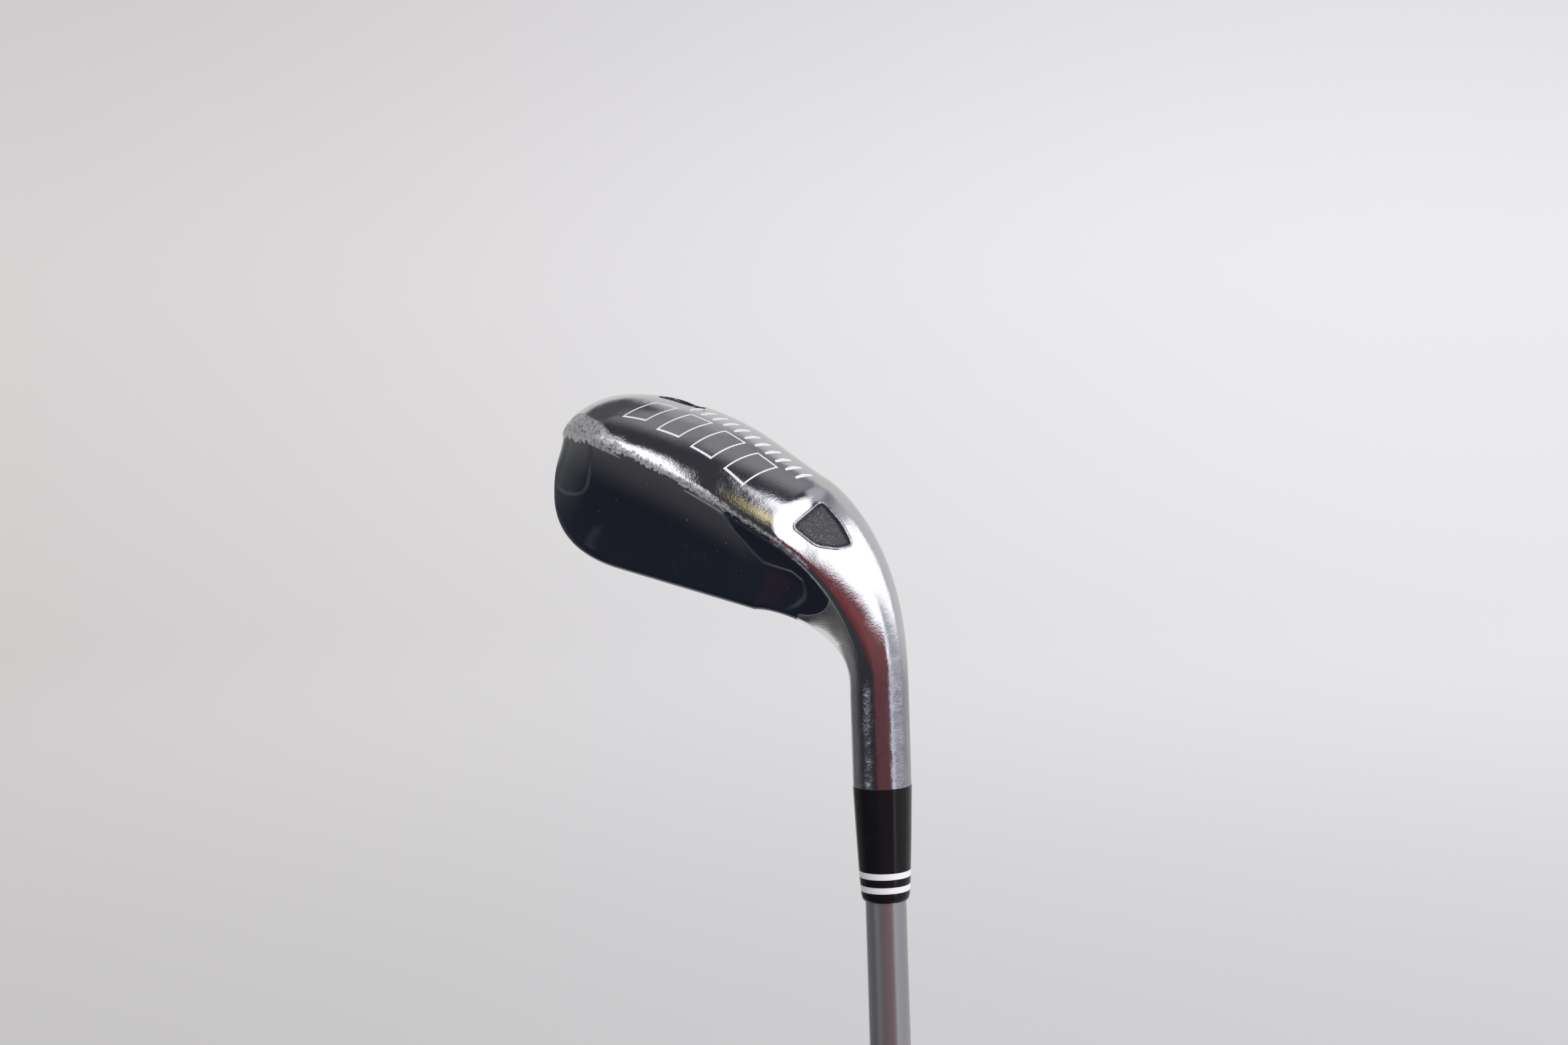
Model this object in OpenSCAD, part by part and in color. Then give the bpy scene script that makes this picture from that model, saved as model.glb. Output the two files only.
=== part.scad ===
// Right-handed hollow iron, stood on its grip with the head up.
// Origin: centre of the butt end. +Z runs up the shaft, +X to the toe, -Y is the face side.

/* [Club] */
// Length from the butt to the point where the shaft line meets the ground
club_len = 965; // [900:5:1000]
// Angle between the shaft and the ground
lie = 64.5; // [63:0.5:66]
// Angle by which the face leans back
loft = 26; // [23:1:29]

/* [Blade] */
// Ground point to the end of the toe
toe_x = 73.4; // [71:0.2:77]
// Height of the middle of the toe
toe_h = 22; // [20:0.5:25]
// Height of the topline over the ground point
top_heel_h = 32.2; // [30:0.2:34]
// Height that the topline would reach at the toe if it stayed straight
top_toe_h = 47; // [44:0.5:50]
// Thickness of the topline
topline_t = 5.8; // [4.6:0.2:7]
// Radius of the sole from heel to toe
camber_r = 340; // [250:10:500]
// Height by which the sole and leading edge rise towards the neck
heel_lift = 1.6; // [1:0.2:2]

/* [Sole] */
// Setback of the trailing ridge at the heel
ridge_heel_b = 17.5; // [16:0.5:19]
// Greatest setback of the trailing ridge
ridge_mid_b = 25; // [23:0.5:27]
// Height of the trailing ridge at mid sole
ridge_mid_h = 11.8; // [10:0.2:13]
// Height of the trailing ridge at the heel
ridge_heel_h = 16.5; // [15:0.5:18]
// Setback of the leading edge from the shaft line
lead_b = -3; // [-4:0.5:-1]
// Depth by which the black crown is hollowed
crown_hollow = 2; // [0:0.25:3]

/* [Hosel] */
// Outer radius of the hosel
hosel_r = 6.75; // [6.4:0.05:7]
// Ground point to the ferrule end of the hosel
hosel_len = 68; // [64:1:74]
// Radius of the bend on the inside of the neck
neck_r = 32; // [29:1:34]
// Depth of the shaft bore
bore_depth = 32; // [26:1:36]

/* [Shaft and ferrule] */
// Radius of the shaft tip
tip_r = 4.75; // [4.5:0.05:4.85]
// Radius of the shaft at the butt
butt_r = 7.6; // [7.2:0.1:7.8]
// Wall of the shaft
shaft_wall = 1.2; // [0.9:0.1:1.5]
// Length of the plain black ferrule sleeve
sleeve_len = 19.8; // [16:0.2:24]

/* [Grip] */
// Length of the grip
grip_len = 268; // [250:2:280]
// Radius of the grip near the butt
grip_butt_r = 13.6; // [13:0.1:14.4]
// Radius of the grip at its mouth
grip_mouth_r = 9.1; // [8.8:0.1:9.6]
// Radius of the vent hole in the cap
vent_r = 1.6; // [1.2:0.1:2]

/* [Hidden] */

// Leading edge height, and where the heel lifts and the sole, topline and ridge close to the toe
lead_h = 4;
sole_mid_x = 32.5;
sole_close_x = 25;
heel_lift_x = 40;
top_close_x = 44;
ridge_close_x = 58;
ridge_mid_x = 45;
toe_corner_r = 5;
toe_corner_b = 3;
toe_ridge_b = 4;
// Super-ellipse powers of the three closings
sole_power = 2.6;
top_power = 2;
ridge_power = 1.66;
// Corner radii of the section: leading edge, top front, top rear, ridge
corner_r = [3.2, 1.2, 2.0, 1.6];

// Steps of the section: face, top front, top, top rear, crown, ridge, sole, leading edge
STEPS = [4, 2, 1, 2, 12, 3, 16, 3];
// Where each of those stretches starts round the hosel, in degrees
TURN = [128, 264, 270, 279, 290, 349, 359, 469, 488];
ring_n = STEPS * [1, 1, 1, 1, 1, 1, 1, 1];
blade_rows = 30;
neck_rows = 16;
toe_end = 0.9985;

// Neck bend: planes turn about this point, from the heel of the blade to the hosel
neck_drop = 22;
neck_power = 0.72;
pivot_z = -(neck_drop + neck_r * (1 - cos(lie))) / sin(lie);
pivot_x = neck_r * sin(lie) + pivot_z * cos(lie);
pivot_h = neck_r * cos(lie) - pivot_z * sin(lie);

// Cavity: each section drawn in towards its core
cavity_scale = 0.78;
cavity_heel_x = 13;
cavity_toe_x = 62.3;
cavity_rows = 12;

// Face plate
plate_t = 2.4;
plate_fit = 0.05;
plate_ledge = 2;
plate_heel_x = 14;
plate_toe_x = 63;
plate_low = 5;
plate_high = 4;
plate_steps = 12;
groove_pitch = 3.5;
groove_w = 0.8;
groove_n = 7;

// Crown panel
crown_mid = [22, 25];
crown_tilt = 10;
panel_t = 1.2;
panel_fit = 0.05;
panel_ledge = 2;
panel_heel_x = 3;
panel_toe_x = 66;
panel_low = 2.1;
panel_high = 1.7;
panel_steps = 13;

// Inlays
inlay_t = 1.2;
inlay_sink = 1.1;
inlay_fit = 0.1;
heel_inlay_at = [0.65, 14.2, -8.75];
heel_inlay_turn = [-2, 61, 117];
heel_inlay_outline = [[-6.2, -3.4], [-2.9, 2.4], [0.7, 6.4], [2.7, 3.7], [3.8, -1.2], [1.6, -7.7]];
toe_inlay_at = [48, 6.5, -0.75];
toe_inlay_turn = [7, 12, 0];
toe_inlay_outline = [[-6.5, 4.2], [0, 5], [6.5, 4.4], [7, 2.5], [1.5, -4.6], [-1, -4.6]];

// Stations along the shaft
hosel_z = club_len - hosel_len;
bore_r = tip_r + 0.1;
epoxy_t = 0.08;
tip_z = hosel_z + bore_depth - 1.5;
ring_len = 1.5;
spacer_len = 1.8;
nose_len = 2.3;
ring_front_z = hosel_z - sleeve_len;
spacer_z = ring_front_z - ring_len;
ring_rear_z = spacer_z - spacer_len;
nose_z = ring_rear_z - ring_len;
cap_len = 5;
tape_t = 0.3;
tip_straight = 75;
tip_bore_r = tip_r - shaft_wall - 1;
pin_fit = 0.1;
pin_r = tip_bore_r - pin_fit;
pin_len = 18;
ferrule_gap = 0.05;
fine = 64;

function lerp(a, b, t) = a + (b - a) * t;
function clamp01(t) = min(1, max(0, t));
function ease(t) = let (c = clamp01(t)) c * c * (3 - 2 * c);

// 0 until the closing starts, 1 at the end of the toe, along a super-ellipse
function closing(x, start, power) =
    let (t = clamp01((x - start) / (toe_x - start)))
    1 - pow(1 - pow(t, power), 1 / power);

function toward(a, b, d) = a + (b - a) * min(d / max(norm(b - a), 0.001), 0.45);
function line_pts(a, b, n) = [for (i = [0:n - 1]) lerp(a, b, i / n)];
function bend_pts(a, b, c, n) =
    [for (i = [0:n - 1]) let (t = i / n) pow(1 - t, 2) * a + 2 * t * (1 - t) * b + t * t * c];
function curve_pts(a, b, c, d, n) =
    [for (i = [0:n - 1]) let (t = i / n, s = 1 - t)
        pow(s, 3) * a + 3 * t * s * s * b + 3 * t * t * s * c + pow(t, 3) * d];

// Sole line and the four corners of the section at x, as [setback, height]
function camber(x) =
    let (t = clamp01((heel_lift_x - x) / (heel_lift_x - pivot_x)))
    pow(x - sole_mid_x, 2) / (2 * camber_r) + heel_lift * t * t;
function sole_h(x) = lerp(camber(x), toe_h, closing(x, sole_close_x, sole_power));
function face_b(h) = lead_b + (h - lead_h) * tan(loft);
function lead(x) =
    let (h = lerp(camber(x) + lead_h, toe_h, closing(x, sole_close_x, sole_power)))
    [face_b(h) + toe_corner_b * closing(x, toe_x - toe_corner_r, 2), h];
function top_front(x) =
    let (h = lerp(lerp(top_heel_h, top_toe_h, x / toe_x), toe_h, closing(x, top_close_x, top_power)))
    [face_b(h) + toe_corner_b * closing(x, toe_x - toe_corner_r, 2), h];
function top_rear(x) =
    let (t = lerp(topline_t, 1.5, closing(x, top_close_x, top_power)))
    top_front(x) + t * [cos(10), -sin(10)];
function ridge(x) =
    let (
        u = (x - ridge_mid_x) / ridge_mid_x,
        b = lerp(ridge_mid_b, ridge_heel_b, u * u),
        h = x < ridge_mid_x ? lerp(ridge_mid_h, ridge_heel_h, u * u) : ridge_mid_h
    )
    [
        lerp(b, face_b(toe_h) + toe_corner_b + toe_ridge_b, closing(x, ridge_close_x, ridge_power)),
        lerp(h, toe_h, closing(x, sole_close_x, sole_power))
    ];

// Closed outline of the section at x: up the face, over the topline, down the crown, under the sole
function section(x) =
    let (
        a = lead(x),
        b = top_front(x),
        c = top_rear(x),
        e = ridge(x),
        s = max(0.15, min(1, (b[1] - a[1]) / 22)),
        r = corner_r * s,
        hollow = [-1, -1] * crown_hollow * s,
        k1 = lerp(c, e, 0.33) + hollow * 0.6,
        k2 = lerp(c, e, 0.72) + hollow * 0.85,
        m1 = e + [-s - 0.1 * (e[0] - a[0]), -1.3 * (e[1] - sole_h(x))],
        m2 = a + [0.3 * (e[0] - a[0]), -1.9 * (a[1] - sole_h(x))],
        a1 = toward(a, b, r[0]),
        b0 = toward(b, a, r[1]),
        b1 = toward(b, c, r[1]),
        c0 = toward(c, b, r[2]),
        c1 = toward(c, k1, r[2]),
        e0 = toward(e, k2, r[3]),
        e1 = toward(e, m1, r[3]),
        a0 = toward(a, m2, r[0])
    )
    concat(
        line_pts(a1, b0, STEPS[0]),
        bend_pts(b0, b, b1, STEPS[1]),
        line_pts(b1, c0, STEPS[2]),
        bend_pts(c0, c, c1, STEPS[3]),
        curve_pts(c1, k1, k2, e0, STEPS[4]),
        bend_pts(e0, e, e1, STEPS[5]),
        curve_pts(e1, m1, m2, a0, STEPS[6]),
        bend_pts(a0, a, a1, STEPS[7])
    );

// Directions round the hosel that the points of the section move to
hosel_turns = [for (k = [0:7]) each line_pts(TURN[k], TURN[k + 1], STEPS[k])];

// From distances along the ground, back and up to the frame of the club
function place(x, b, h) = [x * sin(lie) + h * cos(lie), b, club_len + x * cos(lie) - h * sin(lie)];

function blade_ring(row) =
    let (x = pivot_x + (toe_x * toe_end - pivot_x) * cos(90 * row / blade_rows))
    [for (p = section(x)) place(x, p[0], p[1])];

heel_section = section(pivot_x);
function neck_ring(row) =
    let (t = row / neck_rows, w = pow(ease(t), neck_power), left = lie * (1 - t))
    [for (i = [0:ring_n - 1])
        let (
            b = lerp(heel_section[i][0], hosel_r * cos(hosel_turns[i]), w),
            r = lerp(pivot_h - heel_section[i][1], neck_r + hosel_r * sin(hosel_turns[i]), w)
        )
        [neck_r - r * cos(left), b, club_len + pivot_z + r * sin(left)]];

function hosel_ring(z) = [for (a = hosel_turns) [-hosel_r * sin(a), hosel_r * cos(a), z]];

// Cavity ring: the section drawn in towards its core
function cavity_ring(x) =
    let (core = 0.4 * (lead(x) + ridge(x)) + 0.1 * (top_front(x) + top_rear(x)))
    [for (p = section(x)) let (q = lerp(core, p, cavity_scale)) place(x, q[0], q[1])];

// Triangles that join a list of rings of n points, with both ends closed
function skin_faces(rows, n) = concat(
    [for (r = [0:rows - 2], i = [0:n - 1]) let (j = (i + 1) % n)
        each [[r * n + i, (r + 1) * n + j, (r + 1) * n + i], [r * n + i, r * n + j, (r + 1) * n + j]]],
    [[for (i = [n - 1:-1:0]) i]],
    [[for (i = [0:n - 1]) (rows - 1) * n + i]]
);
module skin(rings) {
    polyhedron(points = [for (ring = rings) each ring], faces = skin_faces(len(rings), len(rings[0])), convexity = 8);
}

// Ground frame: X along the ground to the toe, Y back, Z out of the sole
module at_address() {
    translate([0, 0, club_len]) rotate([0, lie - 90, 0]) children();
}
// Face frame: X to the toe, Y up the face, Z into the head
module on_face() {
    at_address() translate([0, lead_b, -lead_h]) rotate([loft - 90, 0, 0]) children();
}

function up_face(h) = (h - lead_h) / cos(loft);
// Outline of the face plate, drawn in by an inset
function plate_outline(inset) =
    let (x0 = plate_heel_x + inset, x1 = plate_toe_x - inset)
    concat(
        [for (i = [0:plate_steps]) let (x = lerp(x0, x1, i / plate_steps))
            [x, up_face(lead(x)[1] + plate_low) + inset]],
        [for (i = [plate_steps:-1:0]) let (x = lerp(x0, x1, i / plate_steps))
            [x, up_face(top_front(x)[1] - plate_high) - inset]]
    );

// Crown frame: X to the toe, Y up the crown to the topline, Z out of its middle
module on_crown() {
    at_address() translate([0, crown_mid[0], -crown_mid[1]]) rotate([-90 - crown_tilt, 0, 0]) children();
}
function up_crown(p) = (p[1] - crown_mid[1]) * cos(crown_tilt) - (p[0] - crown_mid[0]) * sin(crown_tilt);
// Outline of the crown panel, drawn in by an inset
function panel_outline(inset) =
    let (x0 = panel_heel_x + inset, x1 = panel_toe_x - inset)
    concat(
        [for (i = [0:panel_steps]) let (x = lerp(x0, x1, i / panel_steps))
            [x, up_crown(ridge(x)) + panel_low + inset]],
        [for (i = [panel_steps:-1:0]) let (x = lerp(x0, x1, i / panel_steps))
            [x, up_crown(top_rear(x)) - panel_high - inset]]
    );
module panel_prism(inset, depth) {
    on_crown() translate([0, 0, -depth]) linear_extrude(depth + 12) polygon(panel_outline(inset));
}
// The outside of the head, sunk straight in from the crown
module sunk_head(depth) {
    at_address() translate(depth * [0, -cos(crown_tilt), sin(crown_tilt)]) rotate([0, 90 - lie, 0])
        translate([0, 0, -club_len]) head_outer();
}

module heel_pocket_frame() {
    at_address() translate(heel_inlay_at) rotate(heel_inlay_turn) children();
}
module toe_pocket_frame() {
    at_address() translate(toe_inlay_at) rotate(toe_inlay_turn) children();
}
module pocket(outline) {
    translate([0, 0, -inlay_sink - inlay_t]) linear_extrude(12) polygon(outline);
}
module inlay(outline) {
    scale_in = 1 - inlay_fit / 4;
    translate([0, 0, -inlay_sink - inlay_t + inlay_fit])
        linear_extrude(inlay_t) polygon([for (p = outline) p * scale_in]);
}
module tube(z, len, r_out, r_in) {
    translate([0, 0, z]) difference() {
        cylinder(h = len, r = r_out, $fn = fine);
        translate([0, 0, -1]) cylinder(h = len + 2, r = r_in, $fn = fine);
    }
}
// Tapered ring of the ferrule, wider towards the hosel
module ferrule_part(z, len, r_low, r_high) {
    translate([0, 0, z]) rotate_extrude($fn = fine)
        polygon([[tip_r + ferrule_gap, 0], [r_low, 0], [r_high, len], [tip_r + ferrule_gap, len]]);
}
// Outer radius of the ferrule at a height, a gentle taper from the hosel down
function ferrule_r(z) = lerp(5.7, hosel_r + 0.08, pow(clamp01((z - nose_z) / (hosel_z - nose_z)), 0.75));
function shaft_r(z) = z > tip_z - tip_straight ? tip_r : lerp(butt_r, tip_r, clamp01(z / (tip_z - tip_straight)));

module head_outer() {
    skin(concat(
        [for (row = [0:blade_rows]) blade_ring(row)],
        [for (row = [1:neck_rows]) neck_ring(row)],
        [hosel_ring(hosel_z)]
    ));
}
module head_cavity() {
    skin([for (i = [0:cavity_rows]) cavity_ring(lerp(cavity_toe_x, cavity_heel_x, i / cavity_rows))]);
}

module head_body() {
    color("silver") resize([0, 0, 0]) difference() {
        head_outer();
        head_cavity();
        translate([0, 0, hosel_z - 1]) cylinder(h = bore_depth + 1, r = bore_r, $fn = 48);
        on_face() translate([0, 0, -5]) linear_extrude(5 + plate_t + plate_fit) polygon(plate_outline(0));
        on_face() translate([0, 0, -4]) linear_extrude(4 + 2.5 * plate_t) polygon(plate_outline(plate_ledge));
        difference() {
            panel_prism(0, 8);
            sunk_head(panel_t + panel_fit);
        }
        panel_prism(panel_ledge, 5);
        heel_pocket_frame() pocket(heel_inlay_outline);
        toe_pocket_frame() pocket(toe_inlay_outline);
    }
}
module face_plate() {
    color("gainsboro") on_face() difference() {
        linear_extrude(plate_t) polygon(plate_outline(plate_fit));
        for (i = [0:groove_n - 1]) {
            translate([plate_heel_x + 5, up_face(lead(plate_heel_x)[1]) + 7 + i * groove_pitch, 0])
                rotate([45, 0, 0])
                    translate([0, -groove_w / 2, -groove_w / 2])
                        cube([plate_toe_x - plate_heel_x - 14 + min(i, 3), groove_w, groove_w]);
        }
    }
}
module crown_panel() {
    color("#16181c") resize([0, 0, 0]) difference() {
        intersection() {
            head_outer();
            panel_prism(panel_fit, 8);
        }
        sunk_head(panel_t);
    }
}
module heel_inlay() {
    color("#2b2b2e") heel_pocket_frame() inlay(heel_inlay_outline);
}
module toe_inlay() {
    color("#2b2b2e") toe_pocket_frame() inlay(toe_inlay_outline);
}
module swing_weight_pin() {
    color("#b08d57") translate([0, 0, tip_z - pin_len]) cylinder(h = pin_len, r = pin_r, $fn = fine);
}
module shaft_epoxy() {
    color("#c9b37a") tube(hosel_z + 0.2, bore_depth - 2, tip_r + epoxy_t, tip_r + 0.01);
}
module ferrule_sleeve() {
    color("#101114") ferrule_part(ring_front_z, sleeve_len, ferrule_r(ring_front_z), ferrule_r(hosel_z));
}
module ferrule_ring_front() {
    color("white") ferrule_part(spacer_z, ring_len, ferrule_r(spacer_z), ferrule_r(ring_front_z));
}
module ferrule_spacer() {
    color("#101114") ferrule_part(ring_rear_z, spacer_len, ferrule_r(ring_rear_z), ferrule_r(spacer_z));
}
module ferrule_ring_rear() {
    color("white") ferrule_part(nose_z, ring_len, ferrule_r(nose_z), ferrule_r(ring_rear_z));
}
module ferrule_nose() {
    in_r = tip_r + ferrule_gap;
    color("#101114") translate([0, 0, nose_z - nose_len]) rotate_extrude($fn = fine) polygon(concat(
        [[in_r, 0]],
        [for (a = [0:15:90]) [in_r + 0.1 + (ferrule_r(nose_z) - in_r - 0.1) * sin(a), nose_len * (1 - cos(a))]],
        [[in_r, nose_len]]
    ));
}
module shaft() {
    color("#8f9096") rotate_extrude($fn = fine) polygon([
        [butt_r - shaft_wall, cap_len], [butt_r, cap_len],
        [tip_r, tip_z - tip_straight], [tip_r, tip_z],
        [tip_bore_r, tip_z], [tip_bore_r, tip_z - tip_straight]
    ]);
}
module grip_tape() {
    color("#d8cfa8") rotate_extrude($fn = fine) polygon([
        [shaft_r(cap_len) + 0.02, cap_len], [shaft_r(cap_len) + tape_t, cap_len],
        [shaft_r(grip_len - 4) + tape_t, grip_len - 4], [shaft_r(grip_len - 4) + 0.02, grip_len - 4]
    ]);
}
module grip_sleeve() {
    in_butt = shaft_r(cap_len) + tape_t + 0.02;
    in_mouth = shaft_r(grip_len) + tape_t + 0.02;
    color("#1b1b1c") rotate_extrude($fn = fine) polygon([
        [in_butt, cap_len], [grip_butt_r, cap_len], [grip_butt_r - 0.3, 40],
        [grip_mouth_r + 0.3, grip_len - 14], [grip_mouth_r, grip_len], [in_mouth, grip_len]
    ]);
}
module grip_cap() {
    color("#1b1b1c") difference() {
        rotate_extrude($fn = fine) polygon([
            [0, 0], [grip_butt_r - 2.5, 0], [grip_butt_r - 1.1, 0.5], [grip_butt_r - 0.3, 1.5],
            [grip_butt_r, 3], [grip_butt_r, cap_len], [0, cap_len]
        ]);
        translate([0, 0, -1]) cylinder(h = cap_len + 2, r = vent_r, $fn = fine);
    }
}

head_body();
face_plate();
crown_panel();
heel_inlay();
toe_inlay();
swing_weight_pin();
shaft_epoxy();
ferrule_sleeve();
ferrule_ring_front();
ferrule_spacer();
ferrule_ring_rear();
ferrule_nose();
shaft();
grip_tape();
grip_sleeve();
grip_cap();
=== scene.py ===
from math import cos, exp, pi, radians, sin, tan

import bmesh
import bpy
import numpy as np
from mathutils import Matrix, Vector
from mathutils.bvhtree import BVHTree
from mathutils.kdtree import KDTree
from numpy.linalg import norm


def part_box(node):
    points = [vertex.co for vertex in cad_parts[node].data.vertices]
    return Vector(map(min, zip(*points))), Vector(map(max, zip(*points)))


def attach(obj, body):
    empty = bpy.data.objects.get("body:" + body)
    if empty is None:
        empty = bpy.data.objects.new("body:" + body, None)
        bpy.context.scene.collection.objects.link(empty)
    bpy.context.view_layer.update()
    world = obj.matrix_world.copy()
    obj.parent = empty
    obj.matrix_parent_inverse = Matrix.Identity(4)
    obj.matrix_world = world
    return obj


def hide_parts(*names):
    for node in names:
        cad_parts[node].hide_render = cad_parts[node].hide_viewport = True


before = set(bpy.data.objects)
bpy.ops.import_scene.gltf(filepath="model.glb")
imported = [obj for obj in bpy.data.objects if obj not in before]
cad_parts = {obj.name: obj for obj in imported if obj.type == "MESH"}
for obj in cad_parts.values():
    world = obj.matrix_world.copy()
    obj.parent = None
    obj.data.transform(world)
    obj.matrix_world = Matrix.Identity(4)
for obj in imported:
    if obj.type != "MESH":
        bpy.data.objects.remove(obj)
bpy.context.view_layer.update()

MM = 0.001
BODY = "root"

# ---- dimensions, mm
LIE = radians(64.5)
LOFT = radians(26)
HOSEL_LEN = 68
HOSEL_R = 6.75
HOSEL_BORE_R = 4.85
HOSEL_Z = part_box("head_body")[0].z / MM
CLUB_LEN = HOSEL_Z + HOSEL_LEN

TOE_X = 73.36
TOE_H = 22
TOP_HEEL_H = 32.2
TOP_TOE_H = 47
TOPLINE_T = 5.8
CAMBER_R = 340
HEEL_LIFT = 1.6
HEEL_LIFT_X = 35
RIDGE_HEEL_B = 17.5
RIDGE_MID_B = 24.98
RIDGE_MID_H = 11.8
RIDGE_HEEL_H = 16.5
LEAD_B = -3
LEAD_H = 4
CROWN_HOLLOW = 2
SOLE_MID_X = 32.5
SOLE_CLOSE_X = 25
TOP_CLOSE_X = 44
RIDGE_CLOSE_X = 58
RIDGE_MID_X = 45
TOE_CORNER_R = 5
TOE_CORNER_B = 3
TOE_RIDGE_B = 4
SOLE_POWER, TOP_POWER, RIDGE_POWER = 2.6, 2, 1.66
CORNER_R = (3.2, 1.2, 2, 1.6)
TOE_END = 0.9985

NECK_R = 32
NECK_DROP = 22
NECK_POWER = 0.72
# How far the blade's outline goes on changing past the start of the bend, and the bend's length
NECK_RUN_ON = 4
NECK_BEND = 50
PIVOT_Z = -(NECK_DROP + NECK_R * (1 - cos(LIE))) / sin(LIE)
PIVOT_X = NECK_R * sin(LIE) + PIVOT_Z * cos(LIE)
PIVOT_H = NECK_R * cos(LIE) - PIVOT_Z * sin(LIE)

# Steps of the section: face, top front, top, top rear, crown, ridge, sole, leading edge
STEPS = (24, 6, 6, 8, 64, 12, 100, 12)
# Where each of those stretches starts round the hosel, in degrees, and where the last one ends
TURN = (128, 264, 270, 279, 290, 349, 359, 469, 488)
COL = np.cumsum((0,) + STEPS)
TOP_COL = COL[3]
RIDGE_COL = COL[5] + STEPS[5] // 2
BLADE_ROWS = 170
NECK_ROWS = 90
HOSEL_ROWS = 24


# ---- shape of the head
def lerp(a, b, t):
    return a + (b - a) * t


def ease(t):
    t = np.clip(t, 0, 1)
    return t * t * (3 - 2 * t)


def closing(x, start, power):
    """0 until the closing starts, 1 at the end of the toe, along a super-ellipse."""
    t = np.clip((x - start) / (TOE_X - start), 0, 1)
    return 1 - (1 - t**power) ** (1 / power)


def toward(a, b, distance):
    return a + (b - a) * min(distance / max(norm(b - a), 0.001), 0.45)


def line_pts(a, b, n):
    return lerp(a, b, np.linspace(0, 1, n, endpoint=False)[:, None])


def bend_pts(a, b, c, n):
    t = np.linspace(0, 1, n, endpoint=False)[:, None]
    return (1 - t) ** 2 * a + 2 * t * (1 - t) * b + t**2 * c


def curve_pts(a, b, c, d, n):
    t = np.linspace(0, 1, n, endpoint=False)[:, None]
    return (1 - t) ** 3 * a + 3 * t * (1 - t) ** 2 * b + 3 * t**2 * (1 - t) * c + t**3 * d


def camber(x):
    lift = HEEL_LIFT * ease((HEEL_LIFT_X - x) / (HEEL_LIFT_X - PIVOT_X))
    return (x - SOLE_MID_X) ** 2 / (2 * CAMBER_R) + lift


def sole_h(x):
    return lerp(camber(x), TOE_H, closing(x, SOLE_CLOSE_X, SOLE_POWER))


def face_b(h):
    return LEAD_B + (h - LEAD_H) * tan(LOFT)


def on_front(x, h):
    return np.array([face_b(h) + TOE_CORNER_B * closing(x, TOE_X - TOE_CORNER_R, 2), h])


def lead(x):
    return on_front(x, lerp(camber(x) + LEAD_H, TOE_H, closing(x, SOLE_CLOSE_X, SOLE_POWER)))


def top_front(x):
    straight = lerp(TOP_HEEL_H, TOP_TOE_H, x / TOE_X)
    return on_front(x, lerp(straight, TOE_H, closing(x, TOP_CLOSE_X, TOP_POWER)))


def top_rear(x):
    thick = lerp(TOPLINE_T, 1.5, closing(x, TOP_CLOSE_X, TOP_POWER))
    slope = radians(10)
    return top_front(x) + thick * np.array([cos(slope), -sin(slope)])


def ridge(x):
    u = (x - RIDGE_MID_X) / RIDGE_MID_X
    b = lerp(RIDGE_MID_B, RIDGE_HEEL_B, u * u)
    h = lerp(RIDGE_MID_H, RIDGE_HEEL_H, u * u) if x < RIDGE_MID_X else RIDGE_MID_H
    end_b = face_b(TOE_H) + TOE_CORNER_B + TOE_RIDGE_B
    return np.array([
        lerp(b, end_b, closing(x, RIDGE_CLOSE_X, RIDGE_POWER)),
        lerp(h, TOE_H, closing(x, SOLE_CLOSE_X, SOLE_POWER)),
    ])


def section(x):
    """Outline of the blade at x, as rows of setback and height: face, topline, crown, ridge, sole."""
    a, b, c, e = lead(x), top_front(x), top_rear(x), ridge(x)
    s = max(0.15, min(1, (b[1] - a[1]) / 22))
    r = [radius * s for radius in CORNER_R]
    hollow = np.array([-1, -1]) * CROWN_HOLLOW * s
    k1 = lerp(c, e, 0.33) + hollow * 0.6
    k2 = lerp(c, e, 0.72) + hollow * 0.85
    m1 = e + np.array([-s - 0.1 * (e[0] - a[0]), -1.3 * (e[1] - sole_h(x))])
    m2 = a + np.array([0.3 * (e[0] - a[0]), -1.9 * (a[1] - sole_h(x))])
    a1, b0, b1 = toward(a, b, r[0]), toward(b, a, r[1]), toward(b, c, r[1])
    c0, c1 = toward(c, b, r[2]), toward(c, k1, r[2])
    e0, e1, a0 = toward(e, k2, r[3]), toward(e, m1, r[3]), toward(a, m2, r[0])
    return np.vstack([
        line_pts(a1, b0, STEPS[0]),
        bend_pts(b0, b, b1, STEPS[1]),
        line_pts(b1, c0, STEPS[2]),
        bend_pts(c0, c, c1, STEPS[3]),
        curve_pts(c1, k1, k2, e0, STEPS[4]),
        bend_pts(e0, e, e1, STEPS[5]),
        curve_pts(e1, m1, m2, a0, STEPS[6]),
        bend_pts(a0, a, a1, STEPS[7]),
    ])


def place(x, b, h):
    """Distances along the ground, back and up, in the frame of the club."""
    x, b, h = np.broadcast_arrays(x, b, h)
    across = x * sin(LIE) + h * cos(LIE)
    along = CLUB_LEN + x * cos(LIE) - h * sin(LIE)
    return np.stack([across, b, along], -1)


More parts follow.
